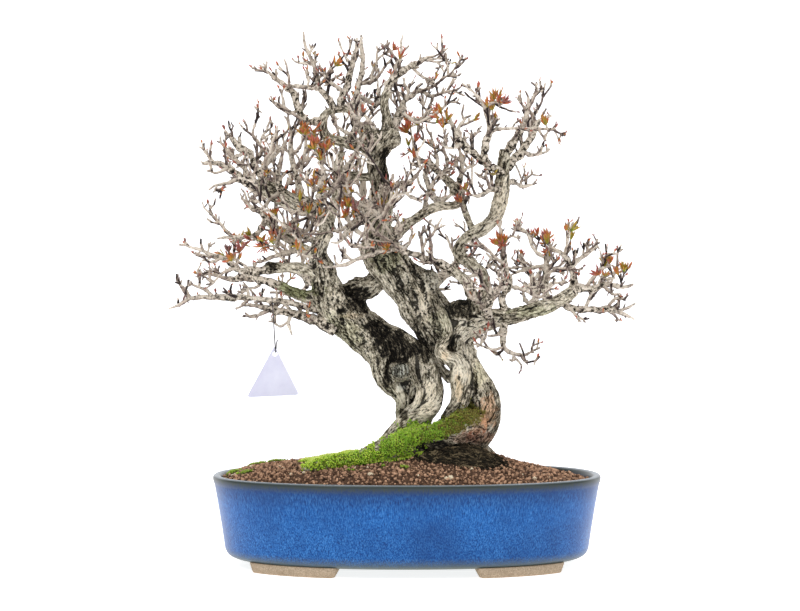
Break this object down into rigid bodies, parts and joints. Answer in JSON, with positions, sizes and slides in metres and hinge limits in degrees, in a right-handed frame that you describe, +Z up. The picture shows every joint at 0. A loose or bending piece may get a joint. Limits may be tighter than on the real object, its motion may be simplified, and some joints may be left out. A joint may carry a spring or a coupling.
{
  "type": "pomegranate bonsai",
  "caption": "Old twin-trunk flowering bonsai in early leaf, with mossed surface roots, in a blue glazed oval pot with feet, and a blank hanging tag",
  "frame": {"origin": "on the surface the pot stands on, under the middle of the whole part", "axes": "+Z up along the tree's height, +X to the viewer's right along the pot's length, -Y towards the tree's front"},
  "size_m": [0.388, 0.25, 0.4457],
  "materials": {
    "glaze": "streaky blue glaze",
    "screen": "moulded mesh",
    "soil": "granular",
    "bark": "fissured bark",
    "twig": "smooth young bark and leaves",
    "tag": "satin",
    "wire": "dark coated wire"
  },
  "bodies": {
    "root": {"pot": "glaze", "drain_screen_left": "screen", "drain_screen_right": "screen", "soil": "soil", "trunk": "bark", "spray_arm_front": "twig", "spray_arm_shoot": "twig", "spray_arm_tip": "twig", "spray_back_far_right": "twig", "spray_back_heart": "twig", "spray_back_left": "twig", "spray_back_low_left": "twig", "spray_back_pad": "twig", "spray_back_right": "twig", "spray_back_top": "twig", "spray_crown_back": "twig", "spray_crown_front": "twig", "spray_crown_left": "twig", "spray_crown_middle": "twig", "spray_crown_peak": "twig", "spray_crown_right": "twig", "spray_crown_spire": "twig", "spray_front_heart": "twig", "spray_front_left": "twig", "spray_front_mid": "twig", "spray_front_right": "twig", "spray_front_sweep": "twig", "spray_heart_right": "twig", "spray_high_back": "twig", "spray_high_front": "twig", "spray_high_inner": "twig", "spray_high_side": "twig", "spray_high_tip": "twig", "spray_left_dark": "twig", "spray_left_fork": "twig", "spray_left_inner": "twig", "spray_left_lichen": "twig", "spray_left_low": "twig", "spray_left_reach": "twig", "spray_left_upper": "twig", "spray_pad_inner": "twig", "spray_pad_rise": "twig", "spray_pad_stem": "twig", "spray_pad_tip": "twig", "spray_right_hanging": "twig", "spray_right_middle": "twig", "spray_right_pale": "twig", "spray_right_reach": "twig", "spray_right_rise": "twig", "spray_right_tip": "twig", "tag": "tag", "tag_tie": "wire"}
  },
  "joints": []
}
